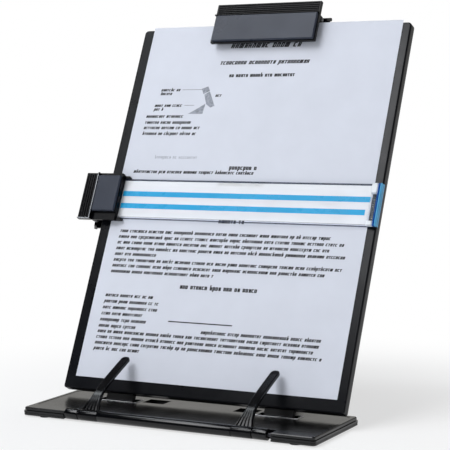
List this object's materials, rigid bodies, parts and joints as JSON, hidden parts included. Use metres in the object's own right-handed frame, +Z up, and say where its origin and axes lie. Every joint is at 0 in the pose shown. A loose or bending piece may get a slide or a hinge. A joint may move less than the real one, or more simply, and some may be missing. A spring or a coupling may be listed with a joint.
{
  "type": "book stand",
  "caption": "Desktop book stand: a leaning board on a low tray with swinging page fingers, a sprung top clip, a sliding line guide with a clear striped ruler and a rear leg.",
  "frame": {"origin": "on the desk plane, under the hinge axis of the board and midway across its width", "axes": "+X to the reader's right, +Y away from the reader, +Z up from the desk"},
  "size_m": [0.2605, 0.2223, 0.3139],
  "materials": {
    "shell": "fine-grained black moulded plastic",
    "cover": "plain black moulded plastic",
    "gloss_black": "smooth, softly reflective black plastic",
    "clip_dark": "satin black moulded plastic",
    "clip_grey": "satin dark grey moulded plastic",
    "rubber": "matte black rubber",
    "black_steel": "blackened steel",
    "steel": "bright steel",
    "paper": "cool white uncoated paper",
    "clear": "clear polished plastic",
    "blue": "translucent sky blue print"
  },
  "bodies": {
    "tray": {"tray_shell": "shell", "tray_panel": "gloss_black", "tray_cover": "cover", "tray_feet": "rubber", "tray_screws": "steel", "rail_collars": "gloss_black", "finger_pins": "black_steel", "hinge_pins": "steel", "finger_washers": "black_steel"},
    "finger_left": {"finger_left": "gloss_black"},
    "finger_right": {"finger_right": "gloss_black"},
    "board": {"board_front": "shell", "board_back": "shell", "board_screws": "steel", "hinge_lugs": "shell", "sheet": "paper", "leg_bracket": "shell", "bracket_screws": "steel", "leg_pin": "steel", "leg_spring": "steel"},
    "leg": {"leg_frame": "shell", "leg_foot_strip": "rubber"},
    "clip_rear": {"clip_rear_jaw": "clip_dark", "clip_pin": "steel", "clip_spring": "steel", "clip_pad": "rubber"},
    "clip_front": {"clip_front_jaw": "clip_grey", "clip_face": "clip_grey", "clip_lip": "rubber"},
    "guide_rear": {"guide_rear_jaw": "clip_dark", "guide_pin": "steel", "guide_spring": "steel", "guide_pad": "rubber"},
    "guide_front": {"guide_front_jaw": "clip_grey", "guide_face": "clip_grey", "guide_lip": "rubber", "ruler_holder": "clip_dark", "ruler": "clear", "ruler_stripes": "blue", "ruler_end_lug": "clear", "ruler_rivets": "steel"}
  },
  "joints": [
    {"name": "board_tilt", "type": "hinge", "parent": "tray", "child": "board", "pos_m": [0, 0, 0.0043], "axis": [1, 0, 0], "range_deg": [-20, 0]},
    {"name": "leg_swing", "type": "hinge", "parent": "board", "child": "leg", "pos_m": [0, 0.08593, 0.16032], "axis": [1, 0, 0], "range_deg": [0, 42]},
    {"name": "finger_left_swing", "type": "hinge", "parent": "tray", "child": "finger_left", "pos_m": [-0.064, -0.0487, 0.0048], "axis": [1, 0, 0], "range_deg": [-3, 109]},
    {"name": "finger_right_swing", "type": "hinge", "parent": "tray", "child": "finger_right", "pos_m": [0.064, -0.0487, 0.0048], "axis": [1, 0, 0], "range_deg": [-2, 110]},
    {"name": "clip_slide", "type": "slide", "parent": "board", "child": "clip_rear", "axis": [1, 0, 0], "range_m": [-0.06, 0.06]},
    {"name": "clip_open", "type": "hinge", "parent": "clip_rear", "child": "clip_front", "pos_m": [-0.0032, 0.13768, 0.29892], "axis": [-1, 0, 0], "range_deg": [0, 14], "stiffness_Nm_per_rad": 0.05, "springref_deg": -20.05},
    {"name": "guide_slide", "type": "slide", "parent": "board", "child": "guide_rear", "axis": [0, 0.4289, 0.9033], "range_m": [-0.1, 0.105]},
    {"name": "guide_open", "type": "hinge", "parent": "guide_rear", "child": "guide_front", "pos_m": [-0.1269, 0.06948, 0.15529], "axis": [0, -0.4289, -0.9033], "range_deg": [0, 12], "stiffness_Nm_per_rad": 0.05, "springref_deg": -20.05}
  ],
  "couplings": [
    {"joint": "leg_swing", "follows": "board_tilt", "ratio": -2.09}
  ]
}
